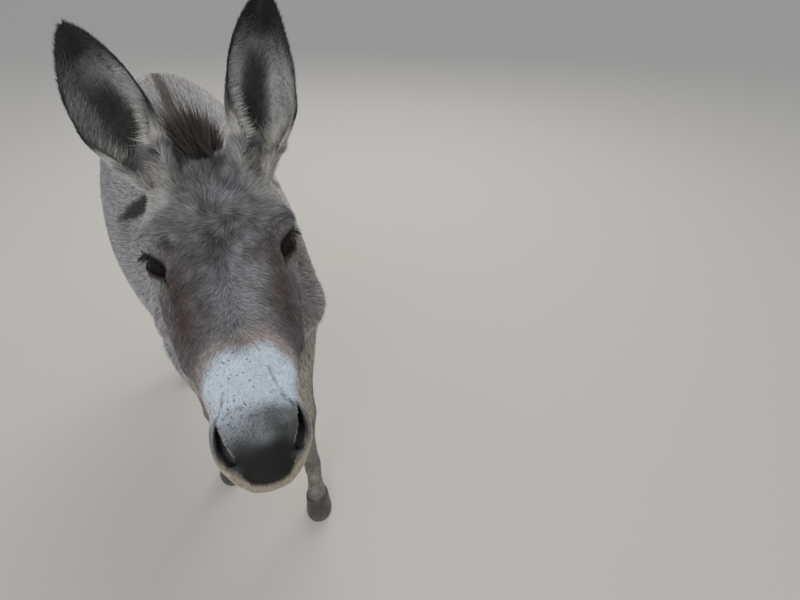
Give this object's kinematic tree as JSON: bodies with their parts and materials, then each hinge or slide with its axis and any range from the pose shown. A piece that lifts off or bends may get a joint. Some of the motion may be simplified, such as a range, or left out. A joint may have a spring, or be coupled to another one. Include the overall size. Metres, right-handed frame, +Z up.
{
  "type": "donkey",
  "caption": "Life-size standing donkey, still museum model: grey-dun coat, long ears, pale muzzle, dark dorsal stripe, head stretched forward over one advanced forefoot.",
  "frame": {"origin": "on the floor under the centre of the model's box", "axes": "+Z up, the donkey faces -Y, its left side is at +X"},
  "size_m": [0.4724, 1.6254, 1.3415],
  "materials": {
    "coat": "short matt hair",
    "mane_hair": "coarse upright hair",
    "tail_hair": "long coarse hair",
    "eye": "wet gloss",
    "hoof_horn": "satin horn"
  },
  "bodies": {
    "root": {"head": "coat", "neck": "coat", "trunk": "coat", "ear_left": "coat", "ear_right": "coat", "tail": "coat", "leg_upper_left_fore": "coat", "leg_upper_right_fore": "coat", "leg_upper_left_hind": "coat", "leg_upper_right_hind": "coat", "leg_lower_left_fore": "coat", "leg_lower_right_fore": "coat", "leg_lower_left_hind": "coat", "leg_lower_right_hind": "coat", "eye_left": "eye", "eye_right": "eye", "mane": "mane_hair", "tail_tuft": "tail_hair", "hoof_left_fore": "hoof_horn", "hoof_right_fore": "hoof_horn", "hoof_left_hind": "hoof_horn", "hoof_right_hind": "hoof_horn"}
  },
  "joints": []
}
